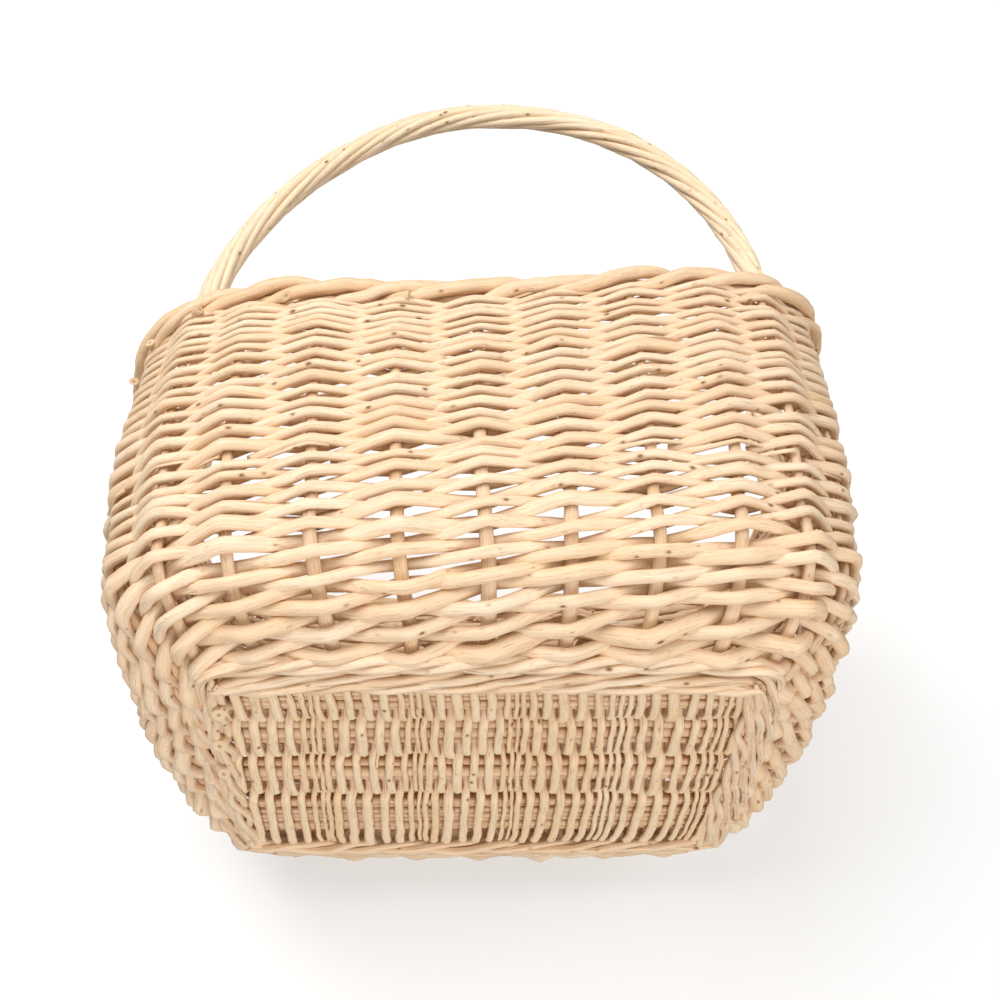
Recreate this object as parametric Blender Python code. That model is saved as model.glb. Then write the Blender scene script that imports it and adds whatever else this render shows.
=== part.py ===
"""Willow egg collection basket: rectangular base, flared side weave, roped border and roped bow handle.

Metres, +Z up. X runs along the basket, the front long side faces -Y, and the foot stands on z = 0.
"""

from math import cos, exp, pi, sin, sqrt

import bpy
import numpy as np

# ---- overall shape of the wall, measured at the middle of the side stakes
FOOT_Z = 0.0085  # where the wall leaves the base
RIM_Z = 0.181  # at the middle of the long sides
RIM_LIFT = 0.0171  # how much higher the rim is at the ends
BASE_HALF_X = 0.1115
BASE_HALF_Y = 0.0838
GROW_X = 0.1123  # scale of the flare along and across
GROW_Y = 0.1365
FLARE_RISE = 0.1074
SQUARE_LEVELS = (0.0, 0.3, 1.0)
SQUARE = (8.0, 4.3, 5.0)  # exponent of the rounded-rectangle plan at those levels

# ---- side stakes
STAKES_LONG = 9  # along each long side, corner ones included
STAKES_END = 8  # between the corner ones at each end
STAKES = 2 * (STAKES_LONG + STAKES_END)
BASE_SHARES = (0.0, 0.1234, 0.1590, 0.2500)  # way round at stakes 0, 3, 4 and the end's middle
WALL_SHARES = (0.0, 0.0945, 0.1215, 0.2500)
CORNER_FADE = 0.07
STAKE_HALF = 0.0023
STAKE_TOP_Z = 0.1695

# ---- side weave
COURSES = 10
COURSE_START_Z = 0.0155
COURSE_HALF = 0.0020
COURSE_GAP = 0.0009
WEAVE_OFFSET = 0.0049  # how far a course stands off the middle of the stakes
FLAT_SHARE = 0.24  # part of a stake's pitch that runs straight past it, each way

# ---- foot
WALE_RADIUS = 0.0037
WALE_DROP = 0.0061
WALE_POINTS = 44

# ---- base
STICK_RADIUS = 0.0032
STICK_Y = (-0.0670, -0.0365, 0.0035, 0.0475)
STICK_Z = 0.0105
STICK_HALF_LENGTH = 0.1088
MAT_BOTTOM = 0.0045
MAT_TOP = 0.0165
MAT_HALF_X = 0.1078
MAT_HALF_Y = 0.0806
MAT_PASSES = 21
MAT_GROOVE = 0.0016
MAT_CORNER_X = 0.1096  # outline that the slab is trimmed to
MAT_CORNER_Y = 0.0819
CHANNEL_GAP = 0.0004

# ---- rope border
BORDER_Z = 0.1773
BORDER_TURNS = 10
BORDER_RODS = 3
BORDER_ROD = 0.0026
BORDER_LAY = 0.0037
BORDER_STEPS = 6  # points in a turn

# ---- handle
HANDLE_Z = 0.198  # where the bow leaves the rim
HANDLE_RISE = 0.2470
HANDLE_SHIFT = 0.0013
HANDLE_HALF = 0.1487
SHOULDER_LEFT = 1.93
SHOULDER_RIGHT = 2.52
BULGE_LEFT = 0.0184
BULGE_RIGHT = 0.0160
BOW_RADIUS = 0.0034
BOW_FOOT_LEVELS = (0.52, 0.93)  # levels of the wall that the bow's ends run down beside
BOW_CLEARANCE = 0.0112  # bow's middle inside the middle of the stakes
STRANDS = 4
STRAND_RADIUS = 0.0021
STRAND_LAY = 0.0063
STRAND_TURNS = 3.5

RINGS = {}
COLOURS = {
    "willow_weave": (0.78, 0.58, 0.36),
    "willow_stake": (0.70, 0.50, 0.29),
    "willow_base": (0.72, 0.52, 0.31),
    "willow_border": (0.76, 0.56, 0.35),
    "willow_handle": (0.80, 0.61, 0.38),
}


def clear_scene():
    for obj in list(bpy.data.objects):
        bpy.data.objects.remove(obj, do_unlink=True)


def material(name):
    found = bpy.data.materials.get(name)
    if found:
        return found
    made = bpy.data.materials.new(name)
    made.use_nodes = True
    shader = made.node_tree.nodes["Principled BSDF"]
    shader.inputs["Base Color"].default_value = (*COLOURS[name], 1.0)
    shader.inputs["Roughness"].default_value = 0.55
    return made


def add_mesh(name, points, faces, slot):
    mesh = bpy.data.meshes.new(name)
    mesh.from_pydata([tuple(p) for p in points], [], faces)
    mesh.update()
    obj = bpy.data.objects.new(name, mesh)
    bpy.context.scene.collection.objects.link(obj)
    obj.data.materials.append(material(slot))
    return obj


def sweep(name, rings, slot, closed=False):
    """A skin through rings of points, given as an array (rings, points, 3)."""
    rings = np.asarray(rings)
    count, around = rings.shape[:2]
    points = rings.reshape(-1, 3)
    faces = []
    for i in range(count if closed else count - 1):
        low, high = i * around, ((i + 1) % count) * around
        for k in range(around):
            n = (k + 1) % around
            faces.append((low + k, low + n, high + n, high + k))
    if not closed:
        faces.append(tuple(range(around))[::-1])
        faces.append(tuple((count - 1) * around + k for k in range(around)))
    if enclosed(points, faces) < 0:
        faces = [face[::-1] for face in faces]
    return add_mesh(name, points, faces, slot)


def enclosed(points, faces):
    """Signed volume, positive when the faces point outwards."""
    middle = points.mean(axis=0)
    total = 0.0
    for face in faces:
        corners = [points[i] - middle for i in face]
        for b, c in zip(corners[1:-1], corners[2:]):
            total += float(np.dot(corners[0], np.cross(b, c)))
    return total


def unit(v):
    return v / np.linalg.norm(v, axis=-1, keepdims=True)


# ---- wall surface


def flare(t):
    return 0.52 * (1 - exp(-t / FLARE_RISE)) - 0.09 * t * t


def half_sizes(t):
    growth = flare(t)
    square = np.interp(t, SQUARE_LEVELS, SQUARE)
    return BASE_HALF_X + GROW_X * growth, BASE_HALF_Y + GROW_Y * growth, square


def ring_table(t):
    """Plan of the wall at a level, as (share of the way round, x and y), from the front's middle."""
    key = round(t, 9)
    if key not in RINGS:
        a, b, n = half_sizes(t)
        angles = np.linspace(-pi / 2, 3 * pi / 2, 2401)
        c, s = np.cos(angles), np.sin(angles)
        k = (np.abs(c) ** n + np.abs(s) ** n) ** (-1 / n)
        spots = np.stack([a * c * k, b * s * k], axis=1)
        RINGS[key] = (run_of(spots, True), spots)
    return RINGS[key]


def run_of(path, share=False):
    """Distance along a path at each of its points."""
    steps = np.linalg.norm(np.diff(path, axis=0), axis=1)
    run = np.concatenate([[0], np.cumsum(steps)])
    return run / run[-1] if share else run


def share_round(u, t):
    """Share of the way round at stake number u. Low down, the long sides hold their stakes further apart."""
    quarter = STAKES / 4
    turn, rest = divmod(u, 2 * quarter)
    mirrored = rest > quarter
    near = 2 * quarter - rest if mirrored else rest
    low, high = (np.interp(near, (0, 3, 4, quarter), s) for s in (BASE_SHARES, WALL_SHARES))
    part = exp(-max(t, 0.0) / CORNER_FADE)
    share = part * low + (1 - part) * high
    return turn / 2 + (0.5 - share if mirrored else share)


def ring_point(share, t):
    run, spots = ring_table(t)
    x, y = (np.interp(share % 1.0, run, spots[:, i]) for i in (0, 1))
    lift = RIM_LIFT * t * (x / half_sizes(t)[0]) ** 2
    return np.array([x, y, FOOT_Z + t * (RIM_Z - FOOT_Z) + lift])


def plan_point(u, t):
    return ring_point(share_round(u, t), t)


def wall_normal(u, t):
    along = plan_point(u + 0.05, t) - plan_point(u - 0.05, t)
    up = plan_point(u, t + 0.01) - plan_point(u, t - 0.01)
    return unit(np.cross(along, up))


def wall_point(u, t, offset=0.0):
    return plan_point(u, t) + offset * wall_normal(u, t)


def level(z):
    return (z - FOOT_Z) / (RIM_Z - FOOT_Z)


def even_levels(first, last, count):
    """Levels between two heights, evenly apart along the slope of the front wall."""
    fine = np.linspace(level(first), level(last), 400)
    run = run_of(np.array([plan_point(0, t) for t in fine]))
    return np.interp(np.linspace(0, run[-1], count + 1), run, fine)


def stake_names():
    """Names of the side stakes, from the front's middle anticlockwise."""
    half, ends = STAKES_LONG // 2, STAKES_END
    found = [f"stake_front_{half + 1 + i}" for i in range(half + 1)]
    found += [f"stake_right_{i + 1}" for i in range(ends)]
    found += [f"stake_back_{i + 1}" for i in range(STAKES_LONG)]
    found += [f"stake_left_{i + 1}" for i in range(ends)]
    return found + [f"stake_front_{i + 1}" for i in range(half)]


def build_stakes(levels):
    """Each stake follows the middle of the straight stretch of the courses beside it."""
    knots = [levels[0] * 0.25] + [levels[i] for i in (0, 1, 2, 3, 4, 6, 8)] + [level(STAKE_TOP_Z)]
    for u, name in enumerate(stake_names()):
        rings = []
        for t in knots:
            first, second = plan_point(u - FLAT_SHARE, t), plan_point(u + FLAT_SHARE, t)
            middle = (first + second) / 2
            side = unit(second - first)
            out = wall_normal(u, t)
            out = unit(out - np.dot(out, side) * side)
            corners = ((-1, -1), (1, -1), (1, 1), (-1, 1))
            rings.append([middle + STAKE_HALF * (i * side + j * out) for i, j in corners])
        sweep(name, rings, "willow_stake")


def build_courses(levels):
    for k in range(COURSES):
        low, high = levels[k], levels[k + 1]
        rings = []
        for j in range(STAKES):
            offset = WEAVE_OFFSET if (j + k) % 2 == 0 else -WEAVE_OFFSET
            for u in (j - FLAT_SHARE, j + FLAT_SHARE):
                foot = plan_point(u, low)
                head = plan_point(u, high)
                rise = unit(head - foot)
                normal = wall_normal(u, (low + high) / 2)
                middle = (foot + head) / 2 + offset * normal
                half = np.linalg.norm(head - foot) / 2 - COURSE_GAP / 2
                rings.append(
                    [
                        middle + half * rise,
                        middle + COURSE_HALF * normal,
                        middle - half * rise,
                        middle - COURSE_HALF * normal,
                    ]
                )
        sweep(f"side_course_{k + 1:02d}", rings, "willow_weave", closed=True)


def build_foot():
    """Two rods of waling round the base's edge. The lower one is the foot, with a flat underside."""
    apothem = WALE_RADIUS * sqrt(3) / 2
    for name, spread, height in (
        ("foot_wale_lower", 0.00255, apothem),
        ("foot_wale_upper", 0.00255 + 0.0073, apothem + 0.0018),
    ):
        rings = []
        for i in range(WALE_POINTS):
            edge = ring_point((i + 0.5) / WALE_POINTS, 0)
            along = ring_point((i + 0.6) / WALE_POINTS, 0) - ring_point((i + 0.4) / WALE_POINTS, 0)
            out = unit(np.array([along[1], -along[0], 0.0]))
            centre = edge + spread * out
            ring = []
            for corner in range(6):
                turn = pi * corner / 3
                radial = WALE_RADIUS * cos(turn)
                ring.append([*(centre + radial * out)[:2], height + WALE_RADIUS * sin(turn)])
            rings.append(ring)
        sweep(name, rings, "willow_base", closed=True)


def stick(name, y, radius, half_length):
    rings = []
    for x in (-half_length, half_length):
        turns = [pi * (k + 0.5) / 3 + pi / 6 for k in range(6)]
        rings.append([(x, y + radius * cos(a), STICK_Z + radius * sin(a)) for a in turns])
    return sweep(name, rings, "willow_base")


def build_mat():
    """The base weave as one ribbed slab, its ridges stepping half a pass from row to row."""
    columns = 2 * MAT_PASSES
    breaks = [(a + b) / 2 for a, b in zip(STICK_Y[:-1], STICK_Y[1:])]
    limits = [-MAT_HALF_Y] + breaks + [MAT_HALF_Y]
    stations = []
    for row in range(len(STICK_Y)):
        margin = 0.0016
        low = limits[row] + (margin if row else 0.0)
        high = limits[row + 1] - (margin if row < len(STICK_Y) - 1 else 0.0)
        stations += [(low, row), (high, row)]
    top, bottom = [], []
    for i in range(columns + 1):
        x = -MAT_HALF_X + 2 * MAT_HALF_X * i / columns
        room = MAT_CORNER_Y * (1 - (abs(x) / MAT_CORNER_X) ** SQUARE[0]) ** (1 / SQUARE[0])
        shrink = min(1.0, room / MAT_HALF_Y)
        for y, row in stations:
            groove = MAT_GROOVE * ((i + row) % 2)
            bottom.append((x, y * shrink, MAT_BOTTOM + groove))
            top.append((x, y * shrink, MAT_TOP - MAT_GROOVE + groove))
    across = len(stations)
    shift = len(bottom)
    faces = []
    for i in range(columns):
        for j in range(across - 1):
            a = i * across + j
            b = a + across
            faces.append((a, a + 1, b + 1, b))
            faces.append((shift + a, shift + b, shift + b + 1, shift + a + 1))
    last = columns * across
    for i in range(columns):
        a, b = i * across, (i + 1) * across
        faces.append((a, b, shift + b, shift + a))
        c, d = a + across - 1, b + across - 1
        faces.append((d, c, shift + c, shift + d))
    for j in range(across - 1):
        faces.append((j + 1, j, shift + j, shift + j + 1))
        faces.append((last + j, last + j + 1, shift + last + j + 1, shift + last + j))
    points = np.array(bottom + top)
    if enclosed(points, faces) < 0:
        faces = [face[::-1] for face in faces]
    mat = add_mesh("base_weave", points, faces, "willow_base")
    for row, y in enumerate(STICK_Y):
        cutter = stick(f"channel_{row + 1}", y, STICK_RADIUS + CHANNEL_GAP, MAT_HALF_X + 0.01)
        cutter.hide_render = True
        cutter.display_type = "WIRE"
        cut = mat.modifiers.new(f"channel_{row + 1}", "BOOLEAN")
        cut.operation = "DIFFERENCE"
        cut.solver = "EXACT"
        cut.object = cutter
        stick(f"base_stick_{row + 1}", y, STICK_RADIUS, STICK_HALF_LENGTH)


# ---- ropes


def path_frames(path, closed):
    """Unit side and up vectors at each point of a path, with up kept close to the world's."""
    path = np.asarray(path)
    if closed:
        tangent = np.roll(path, -1, axis=0) - np.roll(path, 1, axis=0)
    else:
        tangent = np.gradient(path, axis=0)
    return unit(tangent)


def tube(name, path, first, second, radius, sides, slot, closed=False):
    rings = []
    for centre, u, v in zip(path, first, second):
        turns = [2 * pi * (k + 0.5) / sides for k in range(sides)]
        rings.append([centre + radius * (cos(a) * u + sin(a) * v) for a in turns])
    return sweep(name, rings, slot, closed)


def build_border():
    steps = BORDER_TURNS * BORDER_STEPS
    rim = np.array([ring_point(i / steps, level(BORDER_Z)) for i in range(steps)])
    tangent = path_frames(rim, True)
    out = unit(np.cross(tangent, np.array([0, 0, 1.0])))
    up = np.cross(out, tangent)
    for rod in range(BORDER_RODS):
        turn = 2 * pi * (np.arange(steps) / BORDER_STEPS + rod / BORDER_RODS)
        lay = np.cos(turn)[:, None] * out + np.sin(turn)[:, None] * up
        path = rim + BORDER_LAY * lay
        along = path_frames(path, True)
        side = unit(np.cross(along, up + 0.3 * out))
        name = f"border_rod_{rod + 1}"
        tube(name, path, side, np.cross(side, along), BORDER_ROD, 5, "willow_border", True)


def bow_point(height, side):
    """Point of the bow at a share of its rise. side is -1 for the left limb, 1 for the right."""
    shoulder = SHOULDER_LEFT if side < 0 else SHOULDER_RIGHT
    bulge = BULGE_LEFT if side < 0 else BULGE_RIGHT
    half = HANDLE_HALF + side * -HANDLE_SHIFT
    reach = half * max(0.0, 1 - height**shoulder) ** (1 / shoulder)
    x = HANDLE_SHIFT + side * (reach + bulge * 4 * height * (1 - height))
    return np.array([x, 0.0, HANDLE_Z + height * HANDLE_RISE])


def arch_path(count):
    """Evenly spaced points over the bow, from the left rim to the right rim."""
    shares = np.sin(np.linspace(0, pi / 2, 300))
    left = [bow_point(h, -1) for h in shares]
    right = [bow_point(h, 1) for h in shares[::-1]]
    fine = np.array(left + right[1:])
    run = run_of(fine)
    wanted = np.linspace(0, run[-1], count)
    return np.stack([np.interp(wanted, run, fine[:, i]) for i in range(3)], axis=1)


def build_handle():
    arch = arch_path(31)
    feet = []
    for side in (-1, 1):
        foot = []
        for t in np.linspace(*BOW_FOOT_LEVELS, 5):
            spot = wall_point(STAKES / 4 * (2 - side), t, -BOW_CLEARANCE)
            foot.append((spot[0], 0.0, spot[2]))
        feet.append(np.array(foot))
    path = np.concatenate([feet[0], arch, feet[1][::-1]])
    along = path_frames(path, False)
    level_side = np.tile(np.array([0.0, 1.0, 0.0]), (len(path), 1))
    out = np.cross(along, level_side)
    tube("handle_bow", path, level_side, out, BOW_RADIUS, 6, "willow_handle")
    points = 44
    wrap = arch_path(points)[1:-1]
    points = len(wrap)
    tangent = path_frames(wrap, False)
    level_side = np.tile(np.array([0.0, 1.0, 0.0]), (points, 1))
    out = np.cross(tangent, level_side)
    for strand in range(STRANDS):
        turn = 2 * pi * (STRAND_TURNS * np.arange(points) / (points - 1) + strand / STRANDS)
        lay = np.cos(turn)[:, None] * level_side + np.sin(turn)[:, None] * out
        path = wrap + STRAND_LAY * lay
        along = path_frames(path, False)
        side = unit(np.cross(along, out))
        name = f"handle_strand_{strand + 1}"
        tube(name, path, side, np.cross(side, along), STRAND_RADIUS, 4, "willow_handle")


clear_scene()
course_levels = even_levels(COURSE_START_Z, STAKE_TOP_Z, COURSES)
build_mat()
build_foot()
build_stakes(course_levels)
build_courses(course_levels)
build_border()
build_handle()
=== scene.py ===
"""A willow egg basket, woven rod by rod.

It has a base, foot waling, stakes, two bands of French randing, a border and a handle.
"""

from math import cos, pi, sin

import bpy
import numpy as np
from mathutils import Matrix, Vector


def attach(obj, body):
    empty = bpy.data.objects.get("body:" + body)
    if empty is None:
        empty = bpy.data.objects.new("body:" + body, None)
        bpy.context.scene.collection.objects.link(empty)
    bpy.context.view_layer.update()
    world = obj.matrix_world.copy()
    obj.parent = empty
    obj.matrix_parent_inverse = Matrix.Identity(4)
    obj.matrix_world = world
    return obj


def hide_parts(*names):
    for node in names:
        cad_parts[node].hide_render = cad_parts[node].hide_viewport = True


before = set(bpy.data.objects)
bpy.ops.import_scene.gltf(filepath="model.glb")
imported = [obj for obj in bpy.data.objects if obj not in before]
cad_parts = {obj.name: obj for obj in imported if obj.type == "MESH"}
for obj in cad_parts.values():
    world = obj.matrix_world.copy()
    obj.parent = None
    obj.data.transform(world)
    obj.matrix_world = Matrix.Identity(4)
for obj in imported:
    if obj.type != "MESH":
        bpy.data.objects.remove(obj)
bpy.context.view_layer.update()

# ---- shape of the wall at the middle of the stakes, metres; t is 0 at the foot and 1 at the rim,
# u is the stake number round the basket from the middle of the front, s the way up the slope
FOOT_Z, RIM_Z, RIM_LIFT = 0.0085, 0.181, 0.0171
BASE_HALF_X, BASE_HALF_Y = 0.1115, 0.0838
GROW_X, GROW_Y = 0.1123, 0.1365
SQUARE_LEVELS, SQUARE = (0.0, 0.3, 1.0), (8.0, 4.3, 5.0)
STAKES = 34
BASE_SHARES = (0.0, 0.1234, 0.1590, 0.2500)
WALL_SHARES = (0.0, 0.0945, 0.1215, 0.2500)
CORNER_FADE = 0.07
STAKE_D = (0.0066, 0.0044)

# ---- side weave: two bands of randing, each with its first height up the wall, first pitch,
# shrink per round and rounds, then the thickness of a rod's butt and tip
BANDS = ((0.0208, 0.0131, 0.915, 10.4), (0.1135, 0.0078, 0.960, 15.0))
BAND_D = ((0.0081, 0.0037), (0.0055, 0.0034))
STEP = 12  # points of a rod between two stakes

# ---- how far the basket is out of true
BASE_TURN, BASE_TURN_FADE = 0.038, 0.4
RIM_TILT, TILT_STOPS, TILT_FADE = 0.019, 0.27, 0.07
TUCK, TUCK_HIGH = 0.11, 0.38
CORNER_PULL = (0.0034, 0.0008)  # at the left and the right front corner of the rim


def unit(v):
    return v / np.maximum(np.linalg.norm(v, axis=-1, keepdims=True), 1e-12)


def wander(x, scale, rng, octaves=3):
    """Smooth random curve of about unit size, with features about scale long."""
    total = np.zeros_like(x, dtype=float)
    for k in range(octaves):
        phase = rng.uniform(0, 2 * pi)
        pace = rng.uniform(0.75, 1.3) * 2**k
        total += np.sin(2 * pi * x / scale * pace + phase) / 1.7**k
    return total / 1.6


# ---- wall surface


def flare(t):
    return 0.52 * (1 - np.exp(-t / 0.1074)) - 0.09 * t * t


LEVELS = np.linspace(-0.12, 1.05, 235)
SHARES = np.linspace(0, 1, 1441)


def ring_of(t):
    n = np.interp(t, SQUARE_LEVELS, SQUARE)
    a, b = BASE_HALF_X + GROW_X * flare(t), BASE_HALF_Y + GROW_Y * flare(t)
    angles = np.linspace(-pi / 2, 3 * pi / 2, 2401)
    c, s = np.cos(angles), np.sin(angles)
    k = (np.abs(c) ** n + np.abs(s) ** n) ** (-1 / n)
    x, y = a * c * k, b * s * k
    run = np.concatenate([[0], np.cumsum(np.hypot(np.diff(x), np.diff(y)))])
    run /= run[-1]
    lift = RIM_LIFT * t * (x / a) ** 2 if t > 0 else 0 * x
    return np.stack([np.interp(SHARES, run, v) for v in (x, y, lift)], axis=1)


RINGS = np.array([ring_of(t) for t in LEVELS])
LEVEL_Y = -RINGS[:, 0, 1]
LEVEL_Z = FOOT_Z + LEVELS * (RIM_Z - FOOT_Z)
UP_WALL = np.concatenate([[0], np.cumsum(np.hypot(np.diff(LEVEL_Y), np.diff(LEVEL_Z)))])
UP_WALL -= np.interp(0.0, LEVELS, UP_WALL)


def ring_spot(share, t):
    share = np.mod(share, 1.0) * (len(SHARES) - 1)
    level = np.clip((t - LEVELS[0]) / (LEVELS[1] - LEVELS[0]), 0, len(LEVELS) - 1.001)
    i, j = np.floor(share).astype(int), np.floor(level).astype(int)
    i = np.minimum(i, len(SHARES) - 2)
    p, q = (share - i)[..., None], (level - j)[..., None]
    low = RINGS[j, i] * (1 - p) + RINGS[j, i + 1] * p
    high = RINGS[j + 1, i] * (1 - p) + RINGS[j + 1, i + 1] * p
    plan = low * (1 - q) + high * q
    plan[..., 2] += FOOT_Z + np.asarray(t) * (RIM_Z - FOOT_Z)
    return plan


def share_round(u, t):
    quarter = STAKES / 4
    turn, rest = np.divmod(u, 2 * quarter)
    mirrored = rest > quarter
    near = np.where(mirrored, 2 * quarter - rest, rest)
    low, high = (np.interp(near, (0, 3, 4, quarter), s) for s in (BASE_SHARES, WALL_SHARES))
    part = np.exp(-np.maximum(t, 0) / CORNER_FADE)
    share = part * low + (1 - part) * high
    return turn / 2 + np.where(mirrored, 0.5 - share, share)


def wall_spot(u, s):
    """Point of the wall at stake number u and height s, and the outward normal there."""
    u, s = np.broadcast_arrays(np.asarray(u, float), np.asarray(s, float))
    t = np.interp(s, UP_WALL, LEVELS)
    spot = ring_spot(share_round(u, t), t)
    along = ring_spot(share_round(u + 0.08, t), t) - ring_spot(share_round(u - 0.08, t), t)
    above, below = (ring_spot(share_round(u, t + d), t + d) for d in (0.01, -0.01))
    up = above - below
    return spot, unit(np.cross(along, up))


def settle(points):
    """The whole basket a little out of true, as in the photo.

    The base is turned under the body, the back is narrower low down, the rim is higher on the
    right and its front corners are drawn in.
    """
    x, y, z = points.T
    t = np.clip((z - FOOT_Z) / (RIM_Z - FOOT_Z), 0, 1)
    turn = BASE_TURN * np.exp(-t / BASE_TURN_FADE)
    tuck = TUCK * np.clip(t / 0.10, 0.1, 1) * np.exp(-((t / TUCK_HIGH) ** 2))
    x = x * (1 - tuck * np.clip((y - 0.02) / 0.09, 0, 1.1) ** 1.5)
    tilt = RIM_TILT * t * np.clip((TILT_STOPS - z) / TILT_FADE, 0, 1)
    near_corner = np.clip((-y * np.abs(x) / 0.0255 - 0.42) / 0.3, 0, 1)
    pull = np.where(x < 0, *CORNER_PULL) * near_corner * np.clip((z - 0.11) / 0.06, 0, 1)
    x, y, z = x * (1 - pull / 0.17), y + pull, z - 0.9 * pull
    return np.stack([x - turn * y, y + turn * x, z + tilt * x], axis=1)


# ---- rods


class Rods:
    """Collects tubes, then makes one mesh piece of them."""

    def __init__(self):
        self.points, self.quads, self.tris = [], [], []
        self.grain, self.tone, self.cut, self.depth = [], [], [], []
        self.count = 0

    def add(
        self, path, out, radius, sides, flat, tone, rng, lumps=0.035, slant=0.0, deep_in=0.0
    ):
        """A rod along a path.

        out is a direction kept to one side of it and flat its depth along out as a share of its
        width. lumps is how uneven it is and slant how far its cut ends lean. The last argument is
        added to the depth attribute, the painted shade that darkens the rod.
        """
        path = np.asarray(path, float)
        count = len(path)
        out = np.broadcast_to(out, path.shape)
        radius = np.broadcast_to(np.asarray(radius, float), (count,)).copy()
        tangent = unit(np.gradient(path, axis=0))
        side = unit(np.cross(tangent, out))
        up = np.cross(side, tangent)
        run = np.concatenate([[0], np.cumsum(np.linalg.norm(np.diff(path, axis=0), axis=1))])
        knot, step = rng.uniform(0.0, 0.05), 0.0
        while knot < run[-1]:
            size = rng.uniform(0.04, 0.13)
            radius *= 1 + size * np.exp(-(((run - knot) / 0.0028) ** 2))
            knot += rng.uniform(0.03, 0.075)
        turn = 2 * pi * np.arange(sides) / sides
        shape = np.ones((count, sides))
        for k in (2, 3):
            phase = rng.uniform(0, 2 * pi) + 0.8 * wander(run, 0.09, rng)
            shape += lumps / (k - 1) * np.cos(k * turn[None] + phase[:, None])
        shape += 0.4 * lumps * wander(run, 0.02, rng)[:, None]
        ring = radius[:, None] * shape
        across, deep = ring * np.cos(turn), ring * np.sin(turn) * flat
        points = path[:, None] + across[..., None] * side[:, None]
        points = points + deep[..., None] * up[:, None]
        for end, sign in ((0, -1), (count - 1, 1)):
            lean = slant * np.cos(turn - rng.uniform(0, 2 * pi))
            points[end] += sign * (lean * radius[end])[:, None] * tangent[end]
        start = rng.uniform(0, 50)
        grain = np.stack([np.broadcast_to(run[:, None] + start, ring.shape), across, deep], axis=-1)
        base = self.count
        index = base + np.arange(count * sides).reshape(count, sides)
        after = np.roll(index, -1, axis=1)
        self.quads.append(
            np.stack([index[:-1], after[:-1], after[1:], index[1:]], axis=-1).reshape(-1, 4)
        )
        rows_p, rows_g = [points.reshape(-1, 3)], [grain.reshape(-1, 3)]
        # painted shade: each rod is darker at its sides, where it meets its neighbours, and more on
        # its inner face, with the amount passed in on top
        sunk_shade = np.broadcast_to(np.asarray(deep_in, float), (count,))[:, None]
        inner = np.clip(-np.sin(turn), 0, 1)
        sunk_shade = np.clip(((1 - np.abs(np.sin(turn))) / 2 + 0.12 * inner)[None] + sunk_shade, 0, 1.5)
        rows_d = [sunk_shade.ravel()]
        cut = [np.zeros(count * sides)]
        hub = base + count * sides
        for end, flip in ((0, False), (count - 1, True)):
            rim = index[end]
            centre = points[end].mean(axis=0)
            inner = centre + 0.985 * (points[end] - centre)
            rows_p += [inner, centre[None]]
            rows_g += [grain[end], np.array([[start + run[end], 0, 0]])]
            cut += [np.full(sides, 0.5), np.ones(1)]
            rows_d += [np.zeros(sides + 1)]
            ids = hub + np.arange(sides)
            nxt = np.roll(ids, -1)
            quad = np.stack([rim, np.roll(rim, -1), nxt, ids], axis=-1)
            fan = np.stack([ids, nxt, np.full(sides, hub + sides)], axis=-1)
            if not flip:
                quad, fan = quad[:, ::-1], fan[:, ::-1]
            self.quads.append(quad)
            self.tris.append(fan)
            hub += sides + 1
        self.points += rows_p
        self.grain += rows_g
        self.cut += cut
        self.depth += rows_d
        total = hub - base
        tone = rng.uniform(0, 1) if tone is None else tone
        self.tone.append(np.full(total, tone))
        self.count = hub

    def piece(self, name, kind_of_wood, nodes):
        points = settle(np.concatenate(self.points))
        quads, tris = np.concatenate(self.quads), np.concatenate(self.tris)
        mesh = bpy.data.meshes.new(name)
        mesh.vertices.add(len(points))
        mesh.vertices.foreach_set("co", points.astype(np.float32).ravel())
        loops = np.concatenate([quads.ravel(), tris.ravel()]).astype(np.int32)
        mesh.loops.add(len(loops))
        mesh.loops.foreach_set("vertex_index", loops)
        starts = np.concatenate(
            [4 * np.arange(len(quads)), 4 * len(quads) + 3 * np.arange(len(tris))]
        )
        mesh.polygons.add(len(starts))
        mesh.polygons.foreach_set("loop_start", starts.astype(np.int32))
        smooth = np.ones(len(starts), bool)
        smooth[len(quads) :] = False
        mesh.polygons.foreach_set("use_smooth", smooth)
        for label, kind, rows in (
            ("grain", "FLOAT_VECTOR", self.grain),
            ("tone", "FLOAT", self.tone),
            ("cut", "FLOAT", self.cut),
            ("depth", "FLOAT", self.depth),
        ):
            values = np.concatenate(rows).astype(np.float32)
            layer = mesh.attributes.new(label, kind, "POINT")
            field_name = "vector" if kind == "FLOAT_VECTOR" else "value"
            layer.data.foreach_set(field_name, values.ravel())
        mesh.update(calc_edges=True)
        obj = bpy.data.objects.new(name, mesh)
        bpy.context.scene.collection.objects.link(obj)
        mesh.materials.append(WOOD[kind_of_wood])
        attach(obj, "root")
        if nodes:
            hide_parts(*nodes)


# ---- materials


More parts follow.
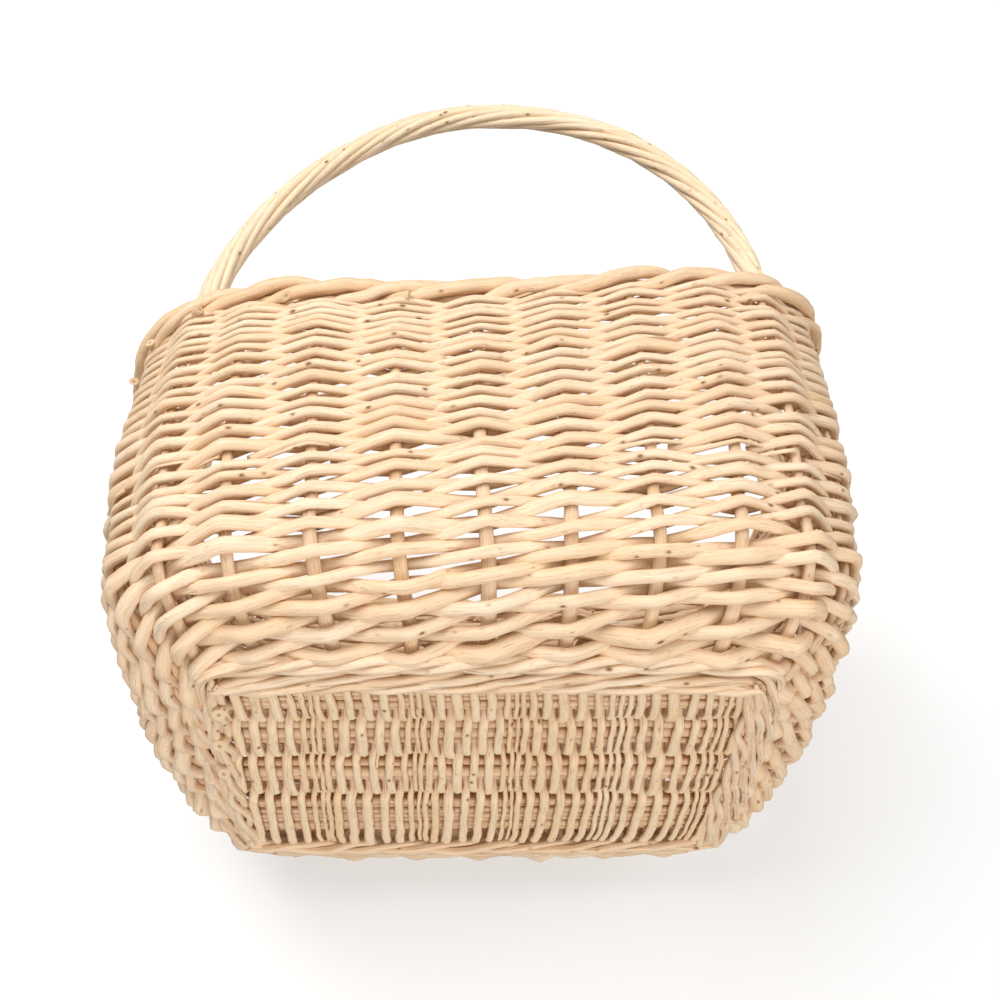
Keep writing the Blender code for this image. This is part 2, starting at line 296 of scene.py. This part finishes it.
def willow(name, pale, honey, dark, groove_shade):
    """Peeled willow: a colour for each rod, blotches, fibres, knots, bark lines, cut ends, painted
    highlights and painted shade.
    """
    material = bpy.data.materials.new(name)
    material.use_nodes = True
    tree = material.node_tree
    nodes, links = tree.nodes, tree.links
    nodes.clear()

    def node(kind, **values):
        made = nodes.new(kind)
        for key, value in values.items():
            setattr(made, key, value)
        return made

    def attribute(label):
        return node("ShaderNodeAttribute", attribute_name=label)

    def scaled(source, by):
        made = node("ShaderNodeVectorMath", operation="MULTIPLY")
        links.new(source, made.inputs[0])
        made.inputs[1].default_value = by
        return made.outputs[0]

    def noise(source, by, detail=3.0, roughness=0.5):
        made = node("ShaderNodeTexNoise")
        made.inputs["Scale"].default_value = 1.0
        made.inputs["Detail"].default_value = detail
        made.inputs["Roughness"].default_value = roughness
        links.new(scaled(source, by), made.inputs["Vector"])
        return made.outputs["Fac"]

    def remap(source, low, high, to_low=0.0, to_high=1.0):
        made = node("ShaderNodeMapRange")
        links.new(source, made.inputs["Value"])
        ends = {"From Min": low, "From Max": high, "To Min": to_low, "To Max": to_high}
        for key, value in ends.items():
            made.inputs[key].default_value = value
        return made.outputs["Result"]

    def mix(fac, a, b, blend="MIX"):
        made = node("ShaderNodeMix", data_type="RGBA", blend_type=blend)
        for socket, value in ((made.inputs[0], fac), (made.inputs[6], a), (made.inputs[7], b)):
            if isinstance(value, bpy.types.NodeSocket):
                links.new(value, socket)
            elif isinstance(value, (int, float)):
                socket.default_value = value
            else:
                socket.default_value = (*value, 1.0)
        return made.outputs[2]

    def maths(operation, a, b):
        made = node("ShaderNodeMath", operation=operation)
        for socket, value in zip(made.inputs, (a, b)):
            if isinstance(value, bpy.types.NodeSocket):
                links.new(value, socket)
            else:
                socket.default_value = value
        return made.outputs[0]

    # the rod's own attributes: place in its wood, its tone, its cut ends, the painted shade of its
    # hidden sides
    grain = attribute("grain").outputs["Vector"]
    tone = attribute("tone").outputs["Fac"]
    cut = attribute("cut").outputs["Fac"]
    colour = mix(remap(tone, 0.15, 1.0, 0.0, 0.8), pale, honey)
    blotch = noise(grain, (22, 110, 110), 2.0)
    colour = mix(remap(blotch, 0.45, 0.72, 0.0, 0.55), colour, honey)
    streak = noise(grain, (55, 900, 900), 3.0, 0.6)
    colour = mix(remap(streak, 0.52, 0.75, 0.0, 0.4), colour, dark)
    # pale streaks along the grain: partly lighter wood, partly painted highlight
    light = noise(grain, (40, 500, 500), 2.0)
    colour = mix(remap(light, 0.55, 0.75, 0.0, 0.35), colour, (0.93, 0.79, 0.60))
    fibre = noise(grain, (120, 2400, 2400), 3.0, 0.6)
    colour = mix(remap(fibre, 0.48, 0.72, 0.0, 0.42), colour, dark)
    crease = maths("ABSOLUTE", maths("SUBTRACT", noise(grain, (20, 600, 600), 2.0), 0.5), 0.0)
    colour = mix(remap(crease, 0.014, 0.003, 0.0, 0.5), colour, (0.46, 0.27, 0.12))
    bark = noise(grain, (16, 420, 420), 2.0, 0.4)
    colour = mix(remap(bark, 0.735, 0.77, 0.0, 0.75), colour, (0.42, 0.19, 0.075))
    spots = node("ShaderNodeTexVoronoi")
    spots.inputs["Scale"].default_value = 1.0
    links.new(scaled(grain, (85, 160, 160)), spots.inputs["Vector"])
    knot = maths("ADD", spots.outputs["Distance"], maths("MULTIPLY", spots.outputs["Color"], 0.12))
    knot = maths("SUBTRACT", knot, 0.035)
    colour = mix(remap(knot, 0.20, 0.11, 0.0, 0.45), colour, (0.50, 0.29, 0.13))
    colour = mix(remap(knot, 0.105, 0.06, 0.0, 0.85), colour, (0.17, 0.075, 0.03))
    # painted shade: the depth attribute, broken up by the blotches, darkens the wood towards dark
    # brown in the grooves between rods, on their sides and where they are hidden
    depth = maths("ADD", attribute("depth").outputs["Fac"], maths("MULTIPLY", blotch, 0.3))
    colour = mix(remap(depth, 0.48, 0.95, 0.0, groove_shade), colour, (0.54, 0.375, 0.25), "MULTIPLY")
    pith = mix(remap(cut, 0.78, 0.94), (0.76, 0.55, 0.34), (0.40, 0.23, 0.12))
    colour = mix(remap(cut, 0.2, 0.4), colour, pith)
    shader = node("ShaderNodeBsdfPrincipled")
    links.new(colour, shader.inputs["Base Color"])
    links.new(remap(streak, 0.3, 0.8, 0.49, 0.69), shader.inputs["Roughness"])
    shader.inputs["Specular IOR Level"].default_value = 0.3
    height = maths("ADD", maths("MULTIPLY", fibre, 0.00012), maths("MULTIPLY", streak, 0.00022))
    pit = maths("MULTIPLY", remap(knot, 0.13, 0.04), 0.0003)
    height = maths("SUBTRACT", height, pit)
    bump = node("ShaderNodeBump")
    bump.inputs["Strength"].default_value = 0.5
    bump.inputs["Distance"].default_value = 1.0
    links.new(height, bump.inputs["Height"])
    links.new(bump.outputs["Normal"], shader.inputs["Normal"])
    output = node("ShaderNodeOutputMaterial")
    links.new(shader.outputs[0], output.inputs[0])
    return material


COLOURS = {  # pale, honey and dark wood, and how strong the painted shade in the grooves between rods is
    "weave": ((0.90, 0.712, 0.515), (0.85, 0.60, 0.375), (0.60, 0.36, 0.17), 0.85),
    "stake": ((0.87, 0.65, 0.44), (0.81, 0.55, 0.32), (0.57, 0.34, 0.155), 0.85),
    "base": ((0.97, 0.745, 0.505), (0.92, 0.635, 0.36), (0.62, 0.37, 0.17), 0.95),
    "border": ((0.87, 0.65, 0.44), (0.81, 0.54, 0.31), (0.58, 0.34, 0.155), 0.7),
    "handle": ((0.95, 0.78, 0.57), (0.92, 0.71, 0.47), (0.76, 0.54, 0.32), 0.15),
}
WOOD = {kind: willow("willow_" + kind, *colours) for kind, colours in COLOURS.items()}


def nodes_like(*starts):
    return sorted(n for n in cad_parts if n.startswith(starts))


# ---- side weave


def field(u, s):
    """Slow unevenness of the weave that all its rods share, in metres up the wall."""
    waves = np.sin(2 * pi * u / 6 + 40 * s) + np.sin(2 * pi * u / 15 + 1.3 - 75 * s)
    return 0.0011 * (waves + 0.7 * np.sin(2 * pi * u / 10 + 110 * s))


def wave(n, crisp):
    """1 at even stakes and -1 at odd ones, the straighter in between the nearer crisp is to 1."""
    return np.arcsin(crisp * np.cos(pi * n)) / np.arcsin(crisp)


def randing(band, pieces):
    """One rod started at each stake, all of them climbing side by side; returned in groups."""
    first, pitch, shrink, rounds = BANDS[band]
    thick, thin = BAND_D[band]
    climbs = pitch * shrink ** np.arange(int(rounds) + 3)
    levels = first + np.concatenate([[0], np.cumsum(climbs)])
    rng = np.random.default_rng(100 + band)
    groups = [Rods() for _ in range(pieces)]
    for j in range(STAKES):
        last = 2 * rounds - rng.uniform(0.1, 0.9)
        n = np.arange(-0.75, last, 1 / STEP)
        u = j + n + 0.03 * wander(n, 3.1, rng)
        part = np.clip(n / (2 * rounds), 0, 1)
        d = (thick + (thin - thick) * part**0.85) * rng.uniform(0.82, 1.16)
        kicks = rng.normal(0, 0.10, int(last) + 4)
        kicks[:6] *= 0.6
        s = np.interp(n / 2, np.arange(len(levels)), levels)
        s = np.where(n < 0, first + n / 2 * pitch, s)
        room = pitch * shrink ** np.clip(n / 2, 0, None)
        kick = np.interp(n + 1, np.arange(len(kicks)), kicks)
        s = s + field(u, s) + 0.16 * d * wander(n, 4.3, rng) + room * kick
        stake = STAKE_D[0] + (STAKE_D[1] - STAKE_D[0]) * s / 0.19
        swing = wave(n, 0.993)
        climb = np.interp(s, (0.050, 0.075), (0.0, 0.17))
        s = s + climb * room * wave(n, 0.9999)
        reach = 0.5 * (0.68 * stake + 0.82 * d) + 0.0004
        offset = reach * swing + 0.07 * d * wander(n, 2.7, rng)
        spot, normal = wall_spot(u, s)
        fade = np.clip((last - n) / 1.5, 0.45, 1.0)
        path = spot + offset[:, None] * normal
        # painted shade: each rod is darker where it passes behind a stake and lighter where it
        # passes in front of one
        groups[j * pieces // STAKES].add(
            path, normal, d / 2 * fade, 9, 0.88, None, rng, 0.055, 0.6, -0.18 * swing
        )
    return groups


courses = nodes_like("side_course_")
for band, (label, share) in enumerate((("lower", courses[:5]), ("upper", courses[5:]))):
    for k, rods in enumerate(randing(band, 5)):
        rods.piece(f"side_weave_{label}_{k + 1}", "weave", share if k == 0 else [])

# ---- stakes
order = [f"stake_front_{i}" for i in range(5, 10)] + [f"stake_right_{i}" for i in range(1, 9)]
order += [f"stake_back_{i}" for i in range(1, 10)] + [f"stake_left_{i}" for i in range(1, 9)]
order += [f"stake_front_{i}" for i in range(1, 5)]
TOP_S = np.interp(0.1720, LEVEL_Z, UP_WALL)
for k, name in enumerate(order):
    rng = np.random.default_rng(300 + k)
    s = np.linspace(0.0085, TOP_S, 60)
    u = k + 0.02 * wander(s, 0.12, rng)
    spot, normal = wall_spot(u, s)
    spot = spot + 0.0003 * wander(s, 0.05, rng)[:, None] * normal
    d = STAKE_D[0] + (STAKE_D[1] - STAKE_D[0]) * s / 0.19
    rods = Rods()
    # the stakes carry a little more painted shade than the weavers
    rods.add(spot, normal, d / 2 * rng.uniform(0.95, 1.06), 12, 0.7, None, rng, deep_in=0.06)
    rods.piece(name + "_rod", "stake", [name])

# ---- base sticks: for each row, each rod's offset across the base, thickness and flatness
ROWS = (-0.0670, -0.0365, 0.0035, 0.0475)
STICK_Z = 0.0107
STICKS = (
    ((-0.0088, 0.0042, 1), (-0.0042, 0.0042, 1), (0.0005, 0.0044, 1), (0.0054, 0.0046, 0.9)),
    ((-0.0072, 0.0060, 0.8), (0.0010, 0.0092, 0.55), (0.0086, 0.0052, 0.8)),
    ((-0.0078, 0.0058, 0.8), (0.0004, 0.0096, 0.55), (0.0082, 0.0052, 0.8)),
    (
        (-0.0078, 0.0052, 0.8),
        (-0.0025, 0.0044, 1),
        (0.0022, 0.0044, 1),
        (0.0070, 0.0046, 1),
        (0.0124, 0.0054, 0.8),
        (0.0184, 0.0056, 0.8),
        (0.0240, 0.0048, 0.9),
    ),
)
for row, rods_of_row in enumerate(STICKS):
    rng = np.random.default_rng(400 + row)
    rods = Rods()
    for shift, d, flat in rods_of_row:
        x = np.linspace(-0.1110 - rng.uniform(0, 0.003), 0.1115, 70)
        y = ROWS[row] + shift + 0.0004 * wander(x, 0.09, rng)
        z = STICK_Z + rng.normal(0, 0.0004) + 0.0004 * wander(x, 0.07, rng)
        path, tone = np.stack([x, y, z], axis=1), rng.uniform(0.1, 0.8)
        # painted shade: the sticks, recessed between the passes, are darkened
        rods.add(path, (0, 0, -1.0), d / 2, 12, flat, tone, rng, 0.035, 0.2, 0.42)
    rods.piece(f"base_stick_rods_{row + 1}", "base", [f"base_stick_{row + 1}"])

# ---- base weave
OUTER_Y = 0.0818


def base_passes():
    """Middle and thickness of each pass across the base, thin where the rods' tips meet."""
    rng = np.random.default_rng(500)
    spots, x, k = [], -0.1136, 0
    while x < 0.1120:
        thick = abs(sin(pi * (k + 4) / 15.5)) ** 1.1
        wide = (0.0018 + 0.0026 * thick) * rng.uniform(0.85, 1.15)
        spots.append((x, wide))
        x += (0.62 + 0.24 * thick) * wide + rng.uniform(0.0001, 0.0004)
        k += 1
    return spots


def base_rods():
    """The passes joined into rods that turn round the outer sticks, over and under the rows."""
    passes = base_passes()
    rng = np.random.default_rng(510)
    rods = Rods()
    edges = [(a + b) / 2 for a, b in zip(ROWS[:-1], ROWS[1:])]
    length = 8
    for start in range(0, len(passes), length):
        path, width = [], []
        chunk = passes[start : start + length]
        for i, (x, wide) in enumerate(chunk):
            number = start + i
            sweep = np.linspace(-1, 1, 65)
            if number % 2:
                sweep = sweep[::-1]
            y = sweep * (OUTER_Y + 0.0014)
            z = np.full_like(y, 1.0 if number % 2 else -1.0)
            for edge in edges:
                z *= np.tanh((edge + rng.normal(0, 0.0008) - y) / 0.0032)
            high = 0.0029 + 0.36 * wide
            fade = np.clip((1.02 - np.abs(sweep)) / 0.05, 0, 1) ** 0.5
            z = STICK_Z + high * np.clip(z, -1, 1) * fade
            hook = sum(np.exp(-(((y - edge + 0.0015) / 0.0035) ** 2)) for edge in edges + [OUTER_Y])
            drift = -0.0010 * np.clip(x / 0.03, -1, 1) * hook + 0.0004 * wander(y, 0.05, rng)
            turn = 0.5 * (0.75 * wide + 0.0003) * sweep * (-1 if number % 2 else 1)
            path.append(np.stack([x + drift + turn * np.abs(sweep) ** 6, y, z], axis=1))
            width.append(np.full(len(y), wide))
        path, width = np.concatenate(path), np.concatenate(width)
        # painted shade: the passes are darker where they rise over the sticks into the basket and
        # lighter where they dip under to the outside of the base
        sunk_shade = 0.10 + 0.3 * np.clip((path[:, 2] - STICK_Z) / 0.004, -0.6, 1)
        tone = rng.uniform(0.0, 0.8)
        rods.add(path, (0, 0, -1.0), width / 2 * 1.05, 9, 0.74, tone, rng, 0.07, 0.5, sunk_shade)
    return rods


base_rods().piece("base_weave_rods", "base", ["base_weave"])


# ---- ropes round the basket
UP = np.array([0.0, 0.0, 1.0])


def wale(rods, s, drop, lay, d, turns, seed):
    """Three rods waled round the wall at height s, each changed for a fresh one once.

    drop is how far out of the wall and below s their middle runs, lay the rope's radius.
    """
    rng = np.random.default_rng(seed)
    share = np.linspace(0, 1, 721)
    spot_level = np.interp(s, UP_WALL, LEVELS)
    for k in range(3):
        begin = rng.uniform(0, 1)
        for half in range(2):
            run = begin + half * 0.5 + share * 0.525
            centre = ring_spot(run, np.full_like(run, spot_level))
            ahead = ring_spot(run + 0.0015, np.full_like(run, spot_level))
            out = unit(np.cross(unit(ahead - centre), UP))
            turn = 2 * pi * (turns * run + k / 3) + 0.25 * wander(run, 0.13, rng)
            corner = 0.0040 * np.abs(2 * out[:, 0] * out[:, 1]) ** 3
            offset = (lay * np.cos(turn) + drop[0] + corner)[:, None] * out
            offset[:, 2] += drop[1] + 0.8 * lay * np.sin(turn)
            radius = d / 2 * (1.1 - 0.35 * share) * rng.uniform(0.95, 1.05)
            rods.add(centre + offset, out, radius, 9, 1.0, None, rng, 0.05, 0.6)
    return rods


PEGS = ((-0.1116, -0.0700), (-0.1146, -0.0395), (-0.1160, -0.0105))  # cut ends left of the base
SIDE_OUT = (0.0034, 0.0028, 0.0022, 0.0038)  # how far each side's edging lies out of the base


def edging(seed):
    """Rods twisted along each side of the foot, their tips crossing beyond its corners."""
    rng = np.random.default_rng(seed)
    rods = Rods()
    run = np.linspace(-1, 1, 161)
    for side in range(4):
        way = side * pi / 2
        along = np.array([cos(way), sin(way), 0.0])
        out = np.array([sin(way), -cos(way), 0.0])
        long_side = side % 2 == 0
        half, far = (BASE_HALF_X, BASE_HALF_Y) if long_side else (BASE_HALF_Y, BASE_HALF_X)
        turns = 3.2 if long_side else 2.4
        for k in range(3):
            reach = half + rng.uniform(0.0035, 0.0075, 2)
            place = np.where(run < 0, run * reach[0], run * reach[1])
            bow = 0.0016 * (1 - run**2) - 0.0012 * np.abs(run) ** 8
            turn = 2 * pi * (turns * (run + 1) / 2 + k / 3) + 0.3 * wander(run, 0.9, rng)
            lay = 0.0022 * (1 + 0.15 * wander(run, 0.5, rng))
            scallop = 0.0014 * np.sin(2 * pi * place / 0.035) if k == 0 else 0
            spread = far + SIDE_OUT[side] + bow + scallop + lay * np.cos(turn)
            path = place[:, None] * along + spread[:, None] * out
            path[:, 2] = FOOT_Z - 0.0026 + 0.9 * lay * np.sin(turn)
            path[:, 2] += 0.0010 * (side % 2) * np.abs(run) ** 4
            fade = np.clip((1.03 - np.abs(run)) / 0.10, 0.4, 1) ** 0.6
            taper = 1 + 0.12 * (1 - 2 * (k % 2)) * run
            radius = 0.0019 * rng.uniform(0.88, 1.12) * taper * fade
            down = unit(0.35 * out + np.array([0, 0, -1.0]))
            rods.add(path, down, radius, 9, 1.0, None, rng, 0.06, 1.2)
    for x, y in PEGS:
        peg = np.linspace(0, 1, 7)[:, None] * np.array([-0.0030, -0.0080, -0.0140])
        peg = peg + np.array([x, y + 0.0050, 0.0140])
        radius = 0.0029 * rng.uniform(0.92, 1.08)
        # the pegs carry more painted shade than the rods round them
        rods.add(peg, (1, 0, 0), radius, 14, 1.0, 0.1, rng, 0.05, 0.1, 0.2)
    return rods


edging(600).piece("foot_wale_rods_lower", "weave", ["foot_wale_lower"])
above = wale(Rods(), 0.0, (0.0086, -0.0010), 0.0025, 0.0043, 10, 610)
above = wale(above, 0.0130, (0.0042, -0.0025), 0.0027, 0.0047, 11, 620)
above.piece("foot_wale_rods_upper", "weave", ["foot_wale_upper"])

# ---- border
BORDER_Z = 0.1773
LOOSE_ENDS = (6, 15, 19, 24, 25, 26, 27, 28, 30)  # rods whose cut ends stand out of the border
END_OUT, END_DROP = 0.004, (0.0075, 0.0050)  # of the border at the ends, left and right


def border():
    """Each stake's top is laid down as one turn of a three-rod rope, then cut off under the rim."""
    level = (BORDER_Z - FOOT_Z) / (RIM_Z - FOOT_Z)
    groups = [Rods() for _ in range(3)]
    for k in range(STAKES):
        rng = np.random.default_rng(700 + k)
        stop = 3.05 + rng.uniform(-0.1, 0.3)
        n = np.linspace(-0.12, stop, 80)
        run = (k + n + 0.05 * wander(n, 3, rng)) / STAKES
        centre = ring_spot(run, np.full_like(run, level))
        ahead = ring_spot(run + 0.0015, np.full_like(run, level))
        out = unit(np.cross(unit(ahead - centre), UP))
        turn = 2 * pi * (n / 3 - 0.27) + 0.28 * wander(n, 2.9, rng)
        lay = 0.0036 * (1 + 0.14 * wander(n, 1.9, rng))
        offset = (lay * np.cos(turn))[:, None] * out
        offset[:, 2] += lay * np.sin(turn) + 0.0009 * wander(n, 3.7, rng) + rng.normal(0, 0.0004)
        start = np.clip((0.35 - n) / 0.47, 0, 1) ** 2
        offset[:, 2] -= 0.006 * start
        end = out[:, 0] ** 2
        offset += (END_OUT * end)[:, None] * out
        offset[:, 2] -= np.where(out[:, 0] < 0, *END_DROP) * end
        finish = np.clip((n - stop + 0.40) / 0.40, 0, 1) ** 2
        poke = 0.0052 if k in LOOSE_ENDS else -0.004
        offset += (poke * finish)[:, None] * out
        offset[:, 2] -= 0.0035 * finish
        radius = np.interp(n, (0, 1.6, 2.6, 3.2), (0.0030, 0.0031, 0.0027, 0.0020))
        radius = radius * rng.uniform(0.95, 1.08)
        groups[k % 3].add(centre + offset, out, radius, 10, 1.0, None, rng, 0.05, 0.7)
    return groups


for k, rods in enumerate(border()):
    rods.piece(f"border_rods_{k + 1}", "border", [f"border_rod_{k + 1}"])

# ---- handle: a bow fitted to the photo, its left side (-1) rounder than its right (1)
HANDLE_Z, HANDLE_RISE, HANDLE_SHIFT, HANDLE_HALF = 0.198, 0.2470, 0.0013, 0.1487
SHOULDER = {-1: 1.93, 1: 2.52}
BULGE = {-1: 0.0184, 1: 0.0160}
FOOT_IN = 0.0094  # from the middle of the end wall to the bow's foot
BOW_R, WRAP_R, WRAP_LAY = 0.0037, 0.00235, 0.0050
WRAPS, WRAP_FROM_Z = 8, 0.181


def bow_point(height, side):
    """Points of the bow above the rim, height running from 0 at the rim to 1 at the top."""
    half = HANDLE_HALF - side * HANDLE_SHIFT
    reach = half * np.maximum(0, 1 - height ** SHOULDER[side]) ** (1 / SHOULDER[side])
    x = HANDLE_SHIFT + side * (reach + BULGE[side] * 4 * height * (1 - height))
    return np.stack([x, 0 * x, HANDLE_Z + height * HANDLE_RISE], axis=1)


def bow_path(count):
    """The bow's middle line, from its left foot inside the wall to its right foot."""
    rise = np.sin(np.linspace(0, pi / 2, 400))
    fine = np.concatenate([bow_point(rise, -1), bow_point(rise[::-1], 1)[1:]])
    feet = []
    for side in (-1, 1):
        s = np.interp(np.linspace(0.52, 0.95, 30), LEVELS, UP_WALL)
        spot, normal = wall_spot(np.full(30, STAKES / 4 * (2 - side)), s)
        feet.append(spot - FOOT_IN * normal)
    fine = np.concatenate([feet[0], fine, feet[1][::-1]])
    fine[:, 1] = 0
    run = np.concatenate([[0], np.cumsum(np.linalg.norm(np.diff(fine, axis=0), axis=1))])
    wanted = np.linspace(0, run[-1], count)
    path = np.stack([np.interp(wanted, run, fine[:, i]) for i in range(3)], axis=1)
    for _ in range(30):
        path[1:-1] = (path[:-2] + 2 * path[1:-1] + path[2:]) / 4
    return path


def handle():
    path = bow_path(520)
    tangent = unit(np.gradient(path, axis=0))
    level = np.tile(np.array([0.0, -1.0, 0.0]), (len(path), 1))
    out = unit(np.cross(tangent, level))
    rods = Rods()
    rods.add(path, level, BOW_R, 12, 1.0, 0.3, np.random.default_rng(800))
    rods.piece("handle_bow_rod", "handle", ["handle_bow"])
    groups = [Rods() for _ in range(4)]
    first, last = np.flatnonzero(path[:, 2] > WRAP_FROM_Z)[[0, -1]]
    steps = np.arange(len(path))
    for k in range(WRAPS):
        rng = np.random.default_rng(810 + k)
        ends = np.sort(rng.uniform(0.134, 0.160, 2))
        keep = np.flatnonzero(path[:, 2] > np.where(path[:, 0] < 0, *ends))
        part = slice(keep[0], keep[-1] + 1)
        h = (steps[part] - first) / (last - first)
        spread = 2 * pi * k / WRAPS
        twist = -2 * pi * (2.4 * h + 1.1 * h**3)
        turn = spread + twist + 0.16 * wander(h, 0.5, rng)
        lay = WRAP_LAY * (1 + 0.04 * wander(h, 0.2, rng))
        lay = lay + 0.0035 * np.clip((h - 0.9) / 0.1, 0, 1) ** 1.5
        lay = lay + 0.0022 * np.clip((0.08 - h) / 0.08, 0, 1)
        tail = np.clip(np.maximum(-h, h - 1) / 0.035, 0, 1)
        lay = lay * (1 - 0.55 * tail)
        spot = path[part] + (lay * np.cos(turn))[:, None] * level[part]
        spot = spot + (lay * np.sin(turn))[:, None] * out[part]
        away = unit(spot - path[part])
        radius = WRAP_R * (1 + 0.06 * wander(h, 0.6, rng)) * rng.uniform(0.90, 1.10)
        radius = radius * (1 - 0.45 * tail)
        groups[k % 4].add(spot, away, radius, 9, 1.0, None, rng, 0.04, 0.3)
    for k, group in enumerate(groups):
        group.piece(f"handle_strand_rods_{k + 1}", "handle", [f"handle_strand_{k + 1}"])


handle()

# ---- floor, light and camera


def floor(name, corners):
    """A pale sheet seen from its front only, which takes shadows and gives none."""
    mesh = bpy.data.meshes.new(name)
    mesh.from_pydata(corners, [], [(0, 1, 2, 3)])
    obj = bpy.data.objects.new(name, mesh)
    bpy.context.scene.collection.objects.link(obj)
    material = bpy.data.materials.new(name)
    material.use_nodes = True
    tree = material.node_tree
    shader = tree.nodes["Principled BSDF"]
    shader.inputs["Base Color"].default_value = (0.50, 0.50, 0.50, 1)
    shader.inputs["Roughness"].default_value = 0.9
    shader.inputs["Specular IOR Level"].default_value = 0.0
    shader.inputs["Emission Color"].default_value = (1.0, 0.995, 0.985, 1)
    shader.inputs["Emission Strength"].default_value = 0.49
    back = tree.nodes.new("ShaderNodeNewGeometry")
    clear = tree.nodes.new("ShaderNodeBsdfTransparent")
    blend = tree.nodes.new("ShaderNodeMixShader")
    tree.links.new(back.outputs["Backfacing"], blend.inputs[0])
    tree.links.new(shader.outputs[0], blend.inputs[1])
    tree.links.new(clear.outputs[0], blend.inputs[2])
    tree.links.new(blend.outputs[0], tree.nodes["Material Output"].inputs[0])
    mesh.materials.append(material)
    obj.visible_shadow = False
    obj.visible_diffuse = False
    obj.visible_glossy = False
    obj.visible_transmission = False


W, LOW = 4.0, -0.001  # half width of the sheets, and the height the basket stands on
BACK = 0.159  # the basket lies on this side in the photo
floor("floor_behind", [(-W, BACK, -W), (W, BACK, -W), (W, BACK, W), (-W, BACK, W)])
floor("floor_below", [(-W, -W, LOW), (W, -W, LOW), (W, W, LOW), (-W, W, LOW)])
floor("floor_far", [(W, -W, LOW), (-W, -W, LOW), (-W, -W, W), (W, -W, W)])
floor("floor_left", [(-W, -W, LOW), (-W, W, LOW), (-W, W, W), (-W, -W, W)])
floor("floor_right", [(W, W, LOW), (W, -W, LOW), (W, -W, W), (W, W, W)])

world = bpy.data.worlds.new("soft_light")
bpy.context.scene.world = world
world.use_nodes = True
world.node_tree.nodes["Background"].inputs[0].default_value = (1.0, 1.0, 1.0, 1)
world.node_tree.nodes["Background"].inputs[1].default_value = 0.30


def area(name, place, size, power, aim=(0, 0, 0.1)):
    light = bpy.data.lights.new(name, "AREA")
    light.shape, light.size, light.energy = "SQUARE", size, power
    obj = bpy.data.objects.new(name, light)
    bpy.context.scene.collection.objects.link(obj)
    obj.location = place
    obj.rotation_euler = (Vector(place) - Vector(aim)).to_track_quat("Z", "Y").to_euler()
    obj.visible_camera = False


area("key", (-0.55, -1.9, 0.35), 1.5, 33)
area("low", (0.15, -0.25, -1.65), 1.0, 18)
area("side", (1.7, -1.0, 0.0), 1.3, 12)
area("back", (0.3, 1.5, 1.1), 1.4, 22)
area("high", (-0.9, -1.3, 1.0), 0.8, 7.5, (0, 0, 0.45))

# the camera fitted to the photo
YAW, TILT, ROLL = -0.00428, -0.59316, -0.02096
DISTANCE, TARGET, LENS = 0.85186, (0.0100, 0.0, 0.15992), 59.063
back = Vector((sin(YAW) * cos(TILT), -cos(YAW) * cos(TILT), sin(TILT)))
right = (-back).cross(Vector((0, 0, 1))).normalized()
over = right.cross(-back)
across = cos(ROLL) * right + sin(ROLL) * over
over = cos(ROLL) * over - sin(ROLL) * right
camera = bpy.data.cameras.new("camera")
camera.lens, camera.sensor_width = LENS, 36.0
camera.clip_start, camera.clip_end = 0.01, 100
seen = bpy.data.objects.new("camera", camera)
bpy.context.scene.collection.objects.link(seen)
seen.matrix_world = Matrix.Translation(Vector(TARGET) + DISTANCE * back) @ Matrix(
    [[across[i], over[i], back[i]] for i in range(3)]
).to_4x4()
bpy.context.scene.camera = seen
bpy.context.scene.view_settings.view_transform = "Standard"
